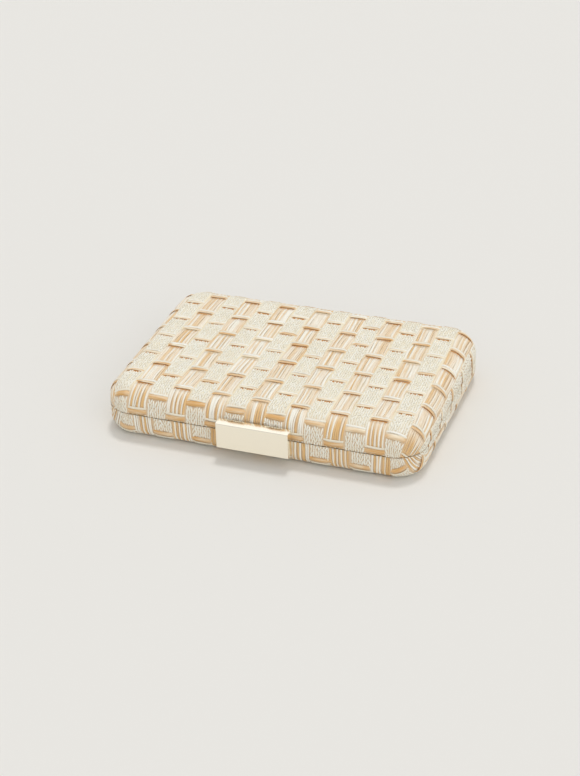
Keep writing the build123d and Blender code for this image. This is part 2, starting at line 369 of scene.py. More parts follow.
@dataclass(frozen=True)
class Cloth:
    """The cloth of one half and how it wraps round the rounded box, in millimetres."""

    edge: float
    flat_z: float
    mouth_z: float
    up: int
    zones: tuple[Zone, ...]
    middle_y: float = field(default_factory=shell_middle)
    length: float = 189.0
    depth: float = 131.0
    corner: float = 17.0
    notch_x: float = 56.0
    notch_half: float = 12.6
    notch_z: float = 15.5
    notch_rise: float = 2.2
    notch_y: float = 60.0
    wall_start: float = 1.0
    free_height: float = 50.0
    floor_z: float = 0.02
    least_room: float = 0.05

    @property
    def flat_x(self) -> float:
        """Half length of the flat."""
        return self.length / 2 - self.edge

    @property
    def flat_y(self) -> float:
        """Half depth of the flat."""
        return self.depth / 2 - self.edge

    @property
    def reach(self) -> float:
        """Way along the cloth from the edge of the flat to the mouth."""
        wall = abs(self.flat_z - self.mouth_z) - self.edge
        return self.edge * math.pi / 2 + wall

    def drape(self, u: Array, v: Array, w: Array) -> tuple[Array, Array, Array]:
        """Wrap points of the flat cloth round the half.

        Args:
            u: Places along the length, from the middle.
            v: Places along the depth, from the middle.
            w: Heights above the cloth's outside.

        Returns:
            The places in metres, how far past the flat's edge each one is in millimetres, and whether it
            lies under a plate that leaves no room for strands.
        """
        round_flat = self.corner - self.edge
        core_x = np.clip(u, round_flat - self.flat_x, self.flat_x - round_flat)
        core_y = np.clip(v, round_flat - self.flat_y, self.flat_y - round_flat)
        out_x, out_y = u - core_x, v - core_y
        far = np.hypot(out_x, out_y)
        safe = np.maximum(far, TINY)
        way_x, way_y = out_x / safe, out_y / safe
        past = far - round_flat
        run = np.clip(past, 0.0, self.reach)
        turn = np.minimum(run / self.edge, math.pi / 2)
        drop = self.edge * (1 - np.cos(turn)) + run - turn * self.edge
        radius = np.minimum(far, round_flat) + self.edge * np.sin(turn)
        x, y = core_x + way_x * radius, core_y + way_y * radius
        z = self.flat_z - self.up * drop
        room = self.room(x, y, z)
        w = self.pressed(w, room)
        x = x + way_x * np.sin(turn) * w
        y = y + way_y * np.sin(turn) * w + self.middle_y
        z = np.maximum(z + self.up * np.cos(turn) * w, self.floor_z)
        return np.stack([x, y, z], axis=-1) * MM, past, room < self.least_room

    def pressed(self, w: Array, room: Array) -> Array:
        """Heights pressed into the room: softly where there is some, and flat where there is none."""
        soft = np.maximum(room, self.least_room)
        return np.where(room < self.least_room, np.minimum(w, room), soft * np.tanh(w / soft))

    def room(self, x: Array, y: Array, z: Array) -> Array:
        """Greatest height of strands, which lie low behind the clasp."""
        return np.where(y < 0, np.min([zone.limit(x, z) for zone in self.zones], axis=0), self.free_height)

    def wall(self, v: Array | float) -> Array:
        """Share from the flat, zero, to the front and back walls, one."""
        return smooth(self.flat_y + self.wall_start, self.flat_y + self.edge, np.abs(v))

    def in_notch(self, place: Array) -> Array:
        """Whether points lie in the room that the hinge knuckles need.

        Args:
            place: Places in metres.

        Returns:
            True for the points in a notch.
        """
        x, y, z = place[..., 0] / MM, place[..., 1] / MM, place[..., 2] / MM
        beside = np.abs(np.abs(x) - self.notch_x) < self.notch_half
        return beside & (np.abs(z - self.notch_z) < self.notch_rise) & (y > self.notch_y)


@dataclass(frozen=True)
class Weave:
    """Columns and rows of one half's cloth, in millimetres along the cloth."""

    column_shift: float
    rows: Rows
    column_pitch: float = 11.5
    fan: float = 0.0004
    bar_half: float = 2.25
    flat_share: float = 0.72
    over_ramp: float = 1.6
    under_ramp: float = 1.0
    tape_inside: float = 0.4
    tape_outside: float = 1.0
    sway_sizes: Pair = (0.35, 0.2)
    sway_rates: Pair = (0.061, 0.17)
    sway_phases: Pair = (2.4, 1.3)

    def columns(self, kind: Strip, reach: float) -> list[int]:
        """Numbers of the columns of one kind that touch the cloth.

        Args:
            kind: Tape or straw.
            reach: Half length of the cloth.

        Returns:
            The columns' numbers, zero in the middle.
        """
        most = int((reach + self.column_pitch) / self.column_pitch) + 1
        near = [k for k in range(-most, most + 1) if k % 2 == kind.value]
        return [k for k in near if abs(self.column_u(k)) < reach + self.column_pitch / 2]

    def column_u(self, column: int) -> float:
        """Middle of a column."""
        return self.column_shift + column * self.column_pitch

    def count(self, u: Array, v: Array | float) -> Array:
        """Places as counts of columns from column zero."""
        return (u / (1 - self.fan * v) - self.column_shift) / self.column_pitch

    def sway(self, column: int, v: Array) -> Array:
        """How far a column strays from its middle on its way."""
        waves = zip(self.sway_sizes, self.sway_rates, self.sway_phases)
        return sum(size * np.sin(rate * v + phase * column) for size, rate, phase in waves)

    def place(self, column: int, cross: Array, v: Array) -> Array:
        """Places along the length of points across a column, which strays and fans out on its way."""
        return (self.column_u(column) + cross + self.sway(column, v)) * (1 - self.fan * v)

    def bars_over(self, column: int) -> list[float]:
        """Places of the weft rows that float over a column."""
        return [v for row, v in self.rows if (row - column) % 2 == 0]

    def lift(self, row: int, u: Array, v: float) -> tuple[Array, Array]:
        """How far a weft row is over the columns.

        Args:
            row: The row's number.
            u: Places along the row.
            v: The row's place.

        Returns:
            Shares from zero, under, to one, over, and whether the column there is tape.
        """
        count = self.count(u, v)
        nearest = np.round(count)
        aside = np.abs(count - nearest) * self.column_pitch
        edge = self.column_pitch / 2
        over = 1 - smooth(edge - self.over_ramp, edge, aside) / 2
        under = smooth(edge - self.under_ramp, edge, aside) / 2
        return np.where(np.mod(row - nearest, 2) == 0, over, under), np.mod(nearest, 2)

    def tape_share(self, u: Array, v: Array) -> Array:
        """Share from the straw columns to the tape columns.

        Args:
            u: Places along the length.
            v: Places along the depth.

        Returns:
            Zero on straw and one on tape, with a soft edge.
        """
        aside = np.abs(np.mod(self.count(u, v), 2.0) - 1.0) * self.column_pitch
        edge = self.column_pitch / 2
        return 1 - smooth(edge - self.tape_inside, edge + self.tape_outside, aside)


@dataclass
class Blank:
    """A shape that is modelled once and copied along the cloth."""

    points: Array
    faces: list[Face]
    sections: Array = field(init=False)

    def __post_init__(self) -> None:
        """Number the sections along Z."""
        self.sections = np.unique(np.round(self.points[:, 2], 4), return_inverse=True)[1].ravel()

    def sections_with(self, marks: Array, every: bool) -> Array:
        """For each point whether its section is marked, on every point of it or on one."""
        shares = np.bincount(self.sections, weights=marks) / np.bincount(self.sections)
        return (shares == 1 if every else shares > 0)[self.sections]

    @staticmethod
    def taken() -> "Blank":
        """Take the active object's mesh as a blank and remove the object.

        Returns:
            The blank.
        """
        shape = bpy.context.object
        points = np.array([tuple(vertex.co) for vertex in shape.data.vertices])
        faces = [tuple(face.vertices) for face in shape.data.polygons]
        bpy.data.objects.remove(shape, do_unlink=True)
        return Blank(points, faces)

    @staticmethod
    def strand(cuts: int, sides: int = 6) -> "Blank":
        """Model a strand: a bar with a few sides, cut across its length.

        Args:
            cuts: Cuts along the length.
            sides: Sides of the section.

        Returns:
            The blank, one across either way, with its length along Z from zero to one.
        """
        bpy.ops.object.select_all(action="DESELECT")
        bpy.ops.mesh.primitive_cylinder_add(vertices=sides, radius=1.0, depth=1.0, end_fill_type="NGON")
        bpy.ops.object.mode_set(mode="EDIT")
        bpy.ops.mesh.select_mode(type="EDGE")
        bpy.ops.mesh.select_all(action="DESELECT")
        shape = bmesh.from_edit_mesh(bpy.context.object.data)
        for edge in shape.edges:
            edge.select_set(abs(edge.verts[0].co.z - edge.verts[1].co.z) > 0.5)
        bmesh.update_edit_mesh(bpy.context.object.data)
        bpy.ops.mesh.subdivide(number_cuts=cuts)
        bpy.ops.object.mode_set(mode="OBJECT")
        blank = Blank.taken()
        blank.points[:, 0] /= np.abs(blank.points[:, 0]).max()
        blank.points[:, 2] += 0.5
        return blank

    @staticmethod
    def stitch(sizes: "StitchShape") -> "Blank":
        """Model one leg of a knitted stitch: a slim drop, thicker at the back.

        Args:
            sizes: The stitch's sizes.

        Returns:
            The blank, one across and one long either way.
        """
        bpy.ops.object.select_all(action="DESELECT")
        bpy.ops.mesh.primitive_uv_sphere_add(segments=sizes.segments, ring_count=sizes.rings, radius=1.0)
        bpy.ops.object.mode_set(mode="EDIT")
        bpy.ops.mesh.select_mode(type="VERT")
        bpy.ops.mesh.select_all(action="DESELECT")
        shape = bmesh.from_edit_mesh(bpy.context.object.data)
        for vertex in shape.verts:
            vertex.select_set(vertex.co.z < sizes.front_end)
        shape.select_flush(True)
        bmesh.update_edit_mesh(bpy.context.object.data)
        bpy.ops.transform.resize(value=(sizes.front_share, sizes.front_share, 1.0))
        bpy.ops.object.mode_set(mode="OBJECT")
        return Blank.taken()


@dataclass
class Lay:
    """Strands laid on the cloth so far, which become one piece."""

    cloth: Cloth
    blank: Blank
    turned: bool = False
    places: list[Array] = field(default_factory=list)
    faces: list[Face] = field(default_factory=list)
    grain: list[Array] = field(default_factory=list)
    tint: list[Array] = field(default_factory=list)
    shade: list[Array] = field(default_factory=list)
    count: int = 0

    def add(
        self, u: Array, v: Array, w: Array, grain: Array, tint: Array | float, shade: Array | float = 0.0
    ) -> None:
        """Lay one copy of the blank without its sections past the mouth, in a hinge notch or under a plate.

        Args:
            u: Places of its points along the length.
            v: Places of its points along the depth.
            w: Heights of its points.
            grain: Places across and along the strand, and the strand's own number.
            tint: Shares of the pale colour.
            shade: Shares of the painted shade.
        """
        place, past, under = self.cloth.drape(u, v, w)
        gone = past > self.cloth.reach
        notch = self.cloth.in_notch(place) | under
        if gone.all() or notch.all():
            return
        kept = self.blank.faces
        if gone.any() or notch.any():
            gone_list = self.blank.sections_with(gone, True).tolist()
            notch_list = self.blank.sections_with(notch, False).tolist()
            kept = [
                face for face in self.blank.faces
                if not all(gone_list[n] for n in face) and not any(notch_list[n] for n in face)
            ]
        self.faces.extend(tuple(n + self.count for n in face) for face in kept)
        self.places.append(place)
        self.grain.append(grain)
        self.tint.append(np.broadcast_to(tint, u.shape))
        self.shade.append(np.broadcast_to(shade, u.shape))
        self.count += len(u)

    def piece(self, name: str) -> bpy.types.Object:
        """Make the piece from all that was laid.

        Args:
            name: The piece's name.

        Returns:
            The new object.
        """
        inside_out = self.turned != (self.cloth.up < 0)
        faces = [face[::-1] for face in self.faces] if inside_out else self.faces
        piece = new_piece(name, np.concatenate(self.places).tolist(), faces)
        looks = (
            ("grain", "FLOAT_VECTOR", "vector", self.grain),
            ("tint", "FLOAT", "value", self.tint),
            ("shade", "FLOAT", "value", self.shade),
        )
        for key, kind, word, values in looks:
            layer = piece.data.attributes.new(key, kind, "POINT")
            layer.data.foreach_set(word, np.concatenate(values).astype(np.float32).ravel())
        close_shape(piece)
        bpy.ops.object.shade_smooth()
        return piece


@dataclass(frozen=True)
class GroundShape:
    """Sizes of the cloth's ground, in millimetres."""

    columns: int = 164
    rows: int = 66
    height: float = 0.02
    tape_rise: float = 0.28
    thickness: float = 0.8
    weld: float = 0.02
    slack: float = 1e-6
    # Painted shade on the ground past the flat's edge: where it starts and its most.
    shade_start: float = 1.0
    wall_shade: float = 0.42
    smooth_degrees: float = 50.0


@dataclass(frozen=True)
class StitchShape:
    """Sizes of the knitted stitches that make the tapes, in millimetres, radians and shares."""

    segments: int = 6
    rings: int = 4
    front_end: float = -0.1
    front_share: float = 0.85
    yarn_count: int = 4
    yarn_pitch: float = 2.72
    pitch: float = 3.3
    half_length: float = 2.4
    half_width: float = 0.64
    half_height: float = 0.26
    height: float = 0.42
    aside: float = 0.68
    lean: float = 0.19
    lean_spread: float = 0.1
    height_spread: float = 0.05
    width_shares: Pair = (0.85, 1.2)
    length_shares: Pair = (0.92, 1.08)
    pale_shares: Pair = (0.4, 1.0)
    wall_slim: float = 0.15
    hidden: float = 0.6
    pinch: float = 0.6
    pinch_reach: float = 0.7
    sink: float = 0.3
    sink_margin: float = 0.7


@dataclass(frozen=True)
class StrawShape:
    """Sizes of the straws in millimetres, and shares."""

    count: int = 9
    cuts: int = 6
    pitch: float = 1.22
    half_width: float = 0.74
    half_height: float = 0.2
    height: float = 0.25
    seat: float = 0.05
    past_mouth: float = 4.0
    start: float = 0.4
    end_spread: float = 0.3
    bend_spread: float = 0.27
    height_spread: float = 0.05
    width_shares: Pair = (0.65, 1.2)
    wall_slim: float = 0.3
    tail_share: float = 0.35
    tail_run: float = 1.5
    rise_start: float = 1.2
    rise_end: float = 4.2
    fall_share: float = 0.9
    fall_run: float = 2.6
    crown: float = 0.1
    crown_share: float = 0.16
    white_rise: float = 0.1
    ordered: float = 0.6
    pale_share: float = 0.42
    white_share: float = 0.38
    pale_spread: float = 0.15
    wall_white: float = 0.2
    wall_tan: float = 0.45
    # Painted shade at the straws' ends in front of the bars, deeper where the slit is open.
    open_end: float = 0.4
    open_shade: float = 0.3
    closed_shade: float = 0.12
    shade_run: float = 1.2


@dataclass(frozen=True)
class WeftStrand:
    """One of the strands that make a weft row, in millimetres and shares."""

    name: str
    dress: Dress
    aside: float
    half_width: float
    half_height: float
    over_straw: float
    cuts: int = 215
    straw_height: float = 0.52
    tape_extra: float = 0.16
    depth_under: float = 0.5
    underside: float = -0.1
    underside_share: float = 0.95
    drift_spread: float = 0.15
    wave: float = 0.25
    wave_rate: float = 0.21
    wave_phases: float = 6.0
    under_width: float = 0.8
    over_gain: float = 0.2
    over_shares: Pair = (0.5, 0.9)
    tape_pale: float = 0.4
    wall_deep: float = 0.85
    least_pale: float = 0.22
    block_rate: float = 12.9898
    row_rate: float = 78.233
    chance_stretch: float = 43.758


@dataclass(frozen=True)
class SlitShape:
    """Sizes of the slits in front of the bars, in millimetres and shares."""

    width: float
    straw_shares: tuple[float, ...] = (0.1, 0.5, 0.9)
    tape_shares: tuple[float, ...] = (1.2, 1.6, 2.0)
    wall_width: float = 0.1
    # Sizes of the patches laid in the wider slits, which show the underlay with painted shade.
    least_width: float = 0.15
    straw_length: float = 9.6
    tape_length: float = 8.4
    cuts: int = 3
    setback: float = 0.2
    overlap: float = 0.35
    rise: float = 0.03
    half_height: float = 0.05
    tint_share: float = 0.5


@dataclass(frozen=True)
class RimShape:
    """Sizes of the cloth that is turned over the mouth, in millimetres."""

    inside: float = 0.95
    outside: float = 0.1
    thickness: float = 0.25
    corner_steps: int = 8
    side_steps: int = 48
    clasp_share: float = 0.1
    front_way: float = -0.9


@dataclass
class WovenCover:
    """The woven cover of one half: ground, tapes, straws, wefts, slit patches with painted shade and the
    turned rim.
    """

    half: Half
    cloth: Cloth
    weave: Weave
    seed: int
    slit: SlitShape
    materials: dict[Dress, bpy.types.Material]
    ground: GroundShape = GroundShape()
    stitch: StitchShape = StitchShape()
    straw: StrawShape = StrawShape()
    strip: WeftStrand = WeftStrand("_weft_strips", Dress.RAFFIA, -0.6, 1.65, 0.2, 0.85)
    white: WeftStrand = WeftStrand("_weft_white", Dress.WHITE, 1.6, 0.65, 0.24, 2.0)
    rim: RimShape = RimShape()
    rng: np.random.Generator = field(init=False)
    half_u: float = field(init=False)
    half_v: float = field(init=False)
    slits: dict[tuple[int, float], float] = field(init=False)

    def __post_init__(self) -> None:
        """Seed the random numbers, measure the flat cloth and choose the slits."""
        self.rng = np.random.default_rng(self.seed)
        self.half_u = self.cloth.flat_x + self.cloth.reach
        self.half_v = self.cloth.flat_y + self.cloth.reach
        self.slits = self.chosen_slits()

    def chosen_slits(self) -> dict[tuple[int, float], float]:
        """Choose how wide the slit in front of each bar is.

        Returns:
            The width for each column and bar.
        """
        slits = {}
        for kind in Strip:
            shares = self.slit.straw_shares if kind is Strip.STRAW else self.slit.tape_shares
            for column in self.weave.columns(kind, self.half_u):
                for bar in self.weave.bars_over(column):
                    on_flat = abs(bar) < self.cloth.flat_y
                    width = self.slit.width * self.rng.choice(shares) if on_flat else self.slit.wall_width
                    slits[(column, bar)] = width
        return slits

    def build(self) -> None:
        """Build every piece of the cover."""
        self.lay_ground()
        self.knit_tapes()
        self.lay_straws()
        self.weave_wefts(self.strip)
        self.weave_wefts(self.white)
        self.lay_slit_painted_shade()
        self.turn_rim()

    def finish(self, piece: bpy.types.Object, dress: Dress) -> None:
        """Dress a piece and let it ride on its half.

        Args:
            piece: The piece.
            dress: Its finish.
        """
        piece.data.materials.append(self.materials[dress])
        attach(piece, self.half.value)
        LOG.info("%s: %d faces", piece.name, len(piece.data.polygons))

    def lay_ground(self) -> None:
        """Make the cloth's ground, which stands for the CAD cover."""
        sizes = self.ground
        bpy.ops.object.select_all(action="DESELECT")
        bpy.ops.mesh.primitive_grid_add(x_subdivisions=sizes.columns, y_subdivisions=sizes.rows, size=2.0)
        piece = bpy.context.object
        piece.name = piece.data.name = self.half.value + "_cloth_ground"
        flat = np.array([tuple(vertex.co) for vertex in piece.data.vertices])
        u, v = flat[:, 0] * self.half_u, flat[:, 1] * self.half_v
        place, past, _ = self.cloth.drape(u, v, self.ground_height(u, v))
        notch = self.cloth.in_notch(place)
        for vertex, spot in zip(piece.data.vertices, place):
            vertex.co = spot
        # Painted shade: the ground darkens towards brown past the flat's edge, on the roundings and walls,
        # where shade falls in the gaps between the strands.
        shade = sizes.wall_shade * smooth(sizes.shade_start, self.cloth.edge, past)
        for key, values in (("tint", self.weave.tape_share(u, v)), ("shade", shade)):
            layer = piece.data.attributes.new(key, "FLOAT", "POINT")
            layer.data.foreach_set("value", values.astype(np.float32))
        shape = bmesh.new()
        shape.from_mesh(piece.data)
        shape.verts.ensure_lookup_table()
        limit = self.cloth.reach - sizes.slack
        spare = [
            face for face in shape.faces
            if all(past[p.index] > limit for p in face.verts) or any(notch[p.index] for p in face.verts)
        ]
        bmesh.ops.delete(shape, geom=spare, context="FACES")
        bmesh.ops.remove_doubles(shape, verts=shape.verts, dist=sizes.weld * MM)
        if self.cloth.up < 0:
            bmesh.ops.reverse_faces(shape, faces=shape.faces)
        shape.to_mesh(piece.data)
        shape.free()
        wall = piece.modifiers.new("wall", "SOLIDIFY")
        wall.thickness = sizes.thickness * MM
        wall.offset = -1.0
        bpy.ops.object.modifier_apply(modifier=wall.name)
        bpy.ops.object.shade_smooth_by_angle(angle=math.radians(sizes.smooth_degrees))
        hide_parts(self.half.value + "_cover")
        self.finish(piece, Dress.GROUND)

    def ground_height(self, u: Array, v: Array) -> Array:
        """Height of the ground, which is raised under the tape columns."""
        return self.ground.height + self.ground.tape_rise * self.weave.tape_share(u, v)

    def bar_share(self, bar: float) -> float:
        """Share of a bar's full width, which it has on the walls, at its place."""
        return self.weave.flat_share + (1 - self.weave.flat_share) * float(self.cloth.wall(bar))

    def bar_half(self, bar: float) -> float:
        """Half the width of a bar at its place."""
        return self.weave.bar_half * self.bar_share(bar)

    def sink(self, column: int, v: Array) -> Array:
        """How far a tape sinks under the bars that float over it.

        Args:
            column: The tape's column.
            v: Places along it.

        Returns:
            The depths in millimetres.
        """
        sink = np.zeros_like(v)
        for bar in self.weave.bars_over(column):
            reach = self.bar_half(bar) + self.stitch.sink_margin
            sink = np.maximum(sink, self.stitch.sink * np.exp(-(((v - bar) / reach) ** 4)))
        return sink

    def strand_grain(self, across: Array, along: Array) -> Array:
        """Grain of one strand: places across and along it, and a number of its own."""
        return np.stack([across, along, np.full_like(along, self.rng.uniform(0, GRAIN_NUMBERS))], axis=1)

    def knit_tapes(self) -> None:
        """Knit the tape columns: yarns of V stitches that narrow in front of each bar."""
        sizes = self.stitch
        lay = Lay(self.cloth, Blank.stitch(sizes), turned=True)
        for column in self.weave.columns(Strip.TAPE, self.half_u):
            bars = self.weave.bars_over(column)
            for yarn in range(sizes.yarn_count):
                offset = (yarn - (sizes.yarn_count - 1) / 2) * sizes.yarn_pitch
                start = -self.half_v + (yarn % 2) * sizes.pitch / 2
                for v_stitch in np.arange(start, self.half_v, sizes.pitch):
                    if all(abs(v_stitch - bar) >= self.bar_half(bar) * sizes.hidden for bar in bars):
                        self.stitch_legs(lay, column, offset, v_stitch)
        self.finish(lay.piece(self.half.value + "_tape_stitches"), Dress.YARN)

    def stitch_legs(self, lay: Lay, column: int, offset: float, v_stitch: float) -> None:
        """Lay the two legs of one stitch.

        Args:
            lay: What the stitch is added to.
            column: The column's number.
            offset: The yarn's place across the column.
            v_stitch: The stitch's place along the column.
        """
        sizes = self.stitch
        across, height, along = lay.blank.points.T
        slim = 1 - sizes.wall_slim * float(self.cloth.wall(v_stitch))
        for side in (-1, 1):
            lean = side * sizes.lean + self.rng.normal(0, sizes.lean_spread)
            local_a = across * sizes.half_width * slim * self.rng.uniform(*sizes.width_shares)
            local_l = along * sizes.half_length * self.rng.uniform(*sizes.length_shares)
            v = v_stitch + local_l * math.cos(lean) - local_a * math.sin(lean)
            cross = side * sizes.aside + local_l * math.sin(lean) + local_a * math.cos(lean)
            pinch = np.ones_like(v)
            for bar in self.weave.bars_over(column):
                slit = self.slits[(column, bar)]
                gap_v = bar - self.bar_half(bar) - slit / 2
                near = np.exp(-(((v - gap_v) / (sizes.pinch_reach * slit)) ** 2))
                pinch = np.minimum(pinch, 1 - sizes.pinch * near)
            u = self.weave.place(column, offset + cross * pinch, v)
            w = sizes.height + height * sizes.half_height - self.sink(column, v)
            w = w + self.rng.normal(0, sizes.height_spread)
            grain = self.strand_grain(cross, v)
            lay.add(u, v, w, grain, self.rng.uniform(*sizes.pale_shares))

    def lay_straws(self) -> None:
        """Lay the straw columns: straws from under one bar to the slit in front of the next."""
        sizes = self.straw
        lay = Lay(self.cloth, Blank.strand(sizes.cuts), turned=True)
        end = self.half_v + sizes.past_mouth
        for column in self.weave.columns(Strip.STRAW, self.half_u):
            ends = [-end] + sorted(self.weave.bars_over(column)) + [end]
            for number in range(sizes.count):
                for front, back in zip(ends[:-1], ends[1:]):
                    self.lay_straw(lay, column, number, front, back)
        self.finish(lay.piece(self.half.value + "_straw_strands"), Dress.STRAW)

    def lay_straw(self, lay: Lay, column: int, number: int, front: float, back: float) -> None:
        """Lay one straw.

        Args:
            lay: What the straw is added to.
            column: The column's number.
            number: The straw's number across the column.
            front: Place of the bar that it comes from under.
            back: Place of the bar that it ends at.
        """
        sizes = self.straw
        across, height, along = lay.blank.points.T
        start = front + sizes.start
        edge = back - self.bar_half(back)
        slit = self.slits.get((column, back), 0.0)
        end = edge - slit + self.rng.uniform(-sizes.end_spread, sizes.end_spread)
        v = start + (end - start) * along
        wall = self.cloth.wall(v)
        wander, skew = self.rng.normal(0, sizes.bend_spread, 2)
        bend = wander * np.sin(along * math.pi) + skew * (along - 0.5)
        tail = 1 - sizes.tail_share * smooth(end - sizes.tail_run, end, v)
        slim = 1 - sizes.wall_slim * wall
        breadth = sizes.half_width * slim * self.rng.uniform(*sizes.width_shares)
        offset = (number - (sizes.count - 1) / 2) * sizes.pitch
        u = self.weave.place(column, offset + bend + across * breadth * tail, v)
        ordered = self.rng.uniform() < sizes.ordered
        white = (number + column // 2) % 2 if ordered else self.rng.integers(0, 2)
        rise = smooth(start + sizes.rise_start, start + sizes.rise_end, v)
        rise = rise * (1 - sizes.fall_share * smooth(end - sizes.fall_run, end, v))
        crown = sizes.crown * np.exp(-(((along - 0.5) / sizes.crown_share) ** 2))
        w = sizes.height * rise - sizes.seat + height * sizes.half_height + crown + sizes.white_rise * white
        w = w + self.rng.normal(0, sizes.height_spread)
        pale = sizes.pale_share + sizes.white_share * white + self.rng.normal(0, sizes.pale_spread)
        on_wall = sizes.wall_white * white - sizes.wall_tan * (1 - white)
        # Painted shade: each straw darkens towards its end, where it dips under the bar's front edge, more
        # where the slit is open.
        painted_shade = sizes.open_shade if edge - end > sizes.open_end else sizes.closed_shade
        shade = painted_shade * smooth(end - sizes.shade_run, end, v)
        lay.add(u, v, w, self.strand_grain(across, v), np.clip(pale + on_wall * wall, 0.0, 1.0), shade)

    def weave_wefts(self, strand: WeftStrand) -> None:
        """Weave one strand of every weft row over and under the columns.

        Args:
            strand: The strand's sizes and finish.
        """
        lay = Lay(self.cloth, Blank.strand(strand.cuts))
        across, height, along = lay.blank.points.T
        across = np.where(height < strand.underside, np.sign(across) * strand.underside_share, across)
        u = -self.half_u + 2 * self.half_u * along
        block = np.round(u / self.weave.column_pitch)
        side = math.copysign(1.0, strand.aside)
        for row, row_v in self.weave.rows:
            share, tape = self.weave.lift(row, u, row_v)
            drift = self.rng.normal(0, strand.drift_spread)
            phase = self.rng.uniform(0, strand.wave_phases)
            drift = drift + strand.wave * np.sin(u * strand.wave_rate + phase)
            narrow = self.bar_share(row_v)
            half_width = strand.half_width * narrow
            flat = 1 - float(self.cloth.wall(row_v))
            spread = half_width * (strand.over_straw - 1) * (1 - tape) * flat
            over = smooth(*strand.over_shares, share)
            width = half_width * (strand.under_width + strand.over_gain * over) + spread
            v = row_v + strand.aside * narrow + side * spread + drift + across * width
            high = strand.straw_height + strand.tape_extra * tape
            w = (high + strand.depth_under) * share - strand.depth_under + height * strand.half_height
            angle = block * strand.block_rate + row * strand.row_rate + self.seed
            chance = np.sin(angle) * strand.chance_stretch
            pale = chance - np.floor(chance) + strand.tape_pale * tape
            pale = np.clip(pale - strand.wall_deep * self.cloth.wall(v), strand.least_pale, 1.0)
            lay.add(u, v, w, self.strand_grain(across * strand.half_width, u), pale)
        self.finish(lay.piece(self.half.value + strand.name), strand.dress)

    def lay_slit_painted_shade(self) -> None:
        """Lay tan patches in the wide slits in front of the bars: partly the underlay that shows through,
        partly painted shade under the bars' front edges.
        """
        sizes = self.slit
        lay = Lay(self.cloth, Blank.strand(sizes.cuts))
        across, height, along = lay.blank.points.T
        for kind in Strip:
            length = sizes.straw_length if kind is Strip.STRAW else sizes.tape_length
            for column in self.weave.columns(kind, self.half_u):
                for bar in self.weave.bars_over(column):
                    slit = self.slits[(column, bar)]
                    if slit < sizes.least_width:
                        continue
                    middle = bar - self.bar_half(bar) - slit / 2 + sizes.setback
                    v = middle + across * (slit / 2 + sizes.overlap)
                    u = self.weave.place(column, (along - 0.5) * length, v)
                    w = self.ground_height(u, v) + sizes.rise + height * sizes.half_height
                    lay.add(u, v, w, np.zeros_like(lay.blank.points), sizes.tint_share)
        self.finish(lay.piece(self.half.value + "_painted_shade_gaps"), Dress.SLIT)

    def rim_spots(self) -> list[tuple[float, float, float, float]]:
        """Places round the mouth, from corner to corner.

        Returns:
            For each place its point on the box's core and the way out from there, along length and depth.
        """
        cloth, sizes = self.cloth, self.rim
        half_x, half_y = cloth.length / 2 - cloth.corner, cloth.depth / 2 - cloth.corner
        corners = ((half_x, half_y), (-half_x, half_y), (-half_x, -half_y), (half_x, -half_y))
        spots = []
        for quarter, (x, y) in enumerate(corners):
            next_x, next_y = corners[(quarter + 1) % len(corners)]
            for step in range(sizes.corner_steps + 1):
                turn = math.pi / 2 * (quarter + step / sizes.corner_steps)
                spots.append((x, y, math.cos(turn), math.sin(turn)))
            ahead = math.pi / 2 * (quarter + 1)
            for step in range(1, sizes.side_steps):
                share = step / sizes.side_steps
                spot = (x + (next_x - x) * share, y + (next_y - y) * share)
                spots.append((*spot, math.cos(ahead), math.sin(ahead)))
        return spots

    def turn_rim(self) -> None:
        """Turn the cloth over the mouth: a thin flat ring from the shell to the outside."""
        cloth, sizes = self.cloth, self.rim
        spots = self.rim_spots()
        inner, outer, rise = -sizes.inside, sizes.outside, sizes.thickness
        section = ((inner, 0.0), (outer, 0.0), (outer, rise), (inner, rise))
        points: list[Place] = []
        for x, y, way_x, way_y in spots:
            behind_clasp = abs(x) < cloth.zones[0].half and way_y < sizes.front_way
            low = sizes.clasp_share if behind_clasp else 1.0
            for out, high in section:
                far = cloth.corner + (out * low if out > 0 else out)
                spot = (x + way_x * far, y + way_y * far + cloth.middle_y, cloth.mouth_z + cloth.up * high)
                points.append(tuple(value * MM for value in spot))
        notch = cloth.in_notch(np.array(points))
        count, size = len(spots), len(section)
        faces: list[Face] = []
        for spot in range(count):
            here, there = spot * size, (spot + 1) % count * size
            for side in range(size):
                after = (side + 1) % size
                face = (here + side, here + after, there + after, there + side)
                if not any(notch[n] for n in face):
                    faces.append(face[::-1] if cloth.up > 0 else face)
        piece = new_piece(self.half.value + "_turned_rim", points, faces)
        close_shape(piece)
        self.finish(piece, Dress.RIM)


@dataclass
class Hardware:
    """Finishes of the CAD pieces that stay as they are."""

    gold: PlainFinish = PlainFinish("pale_gold", srgb(255, 248, 231), roughness=0.14, metallic=1.0)
    steel: PlainFinish = PlainFinish("plain_steel", srgb(190, 186, 178), roughness=0.35, metallic=1.0)
    board: PlainFinish = PlainFinish("shell_board", srgb(214, 204, 184), roughness=0.7)
    lining: PlainFinish = PlainFinish("lining_cloth", srgb(212, 190, 154), roughness=0.85, grain=0.5)

    def dress(self, nodes: dict[str, bpy.types.Object]) -> None:
        """Give every CAD node but the covers its finish.

        Args:
            nodes: The CAD nodes by name.
        """
        gold, steel = self.gold.material(), self.steel.material()
        board, lining = self.board.material(), self.lining.material()
        for name, node in nodes.items():
            material = steel
            if name in ("clasp_bar", "clasp_bracket") or "leaf" in name:
                material = gold
            elif name.endswith("shell"):
                material = board
            elif name.endswith("lining"):
                material = lining
            elif name.endswith("cover"):
                continue
            node.data.materials.clear()
            node.data.materials.append(material)
            LOG.info("%s wears %s", name, material.name)


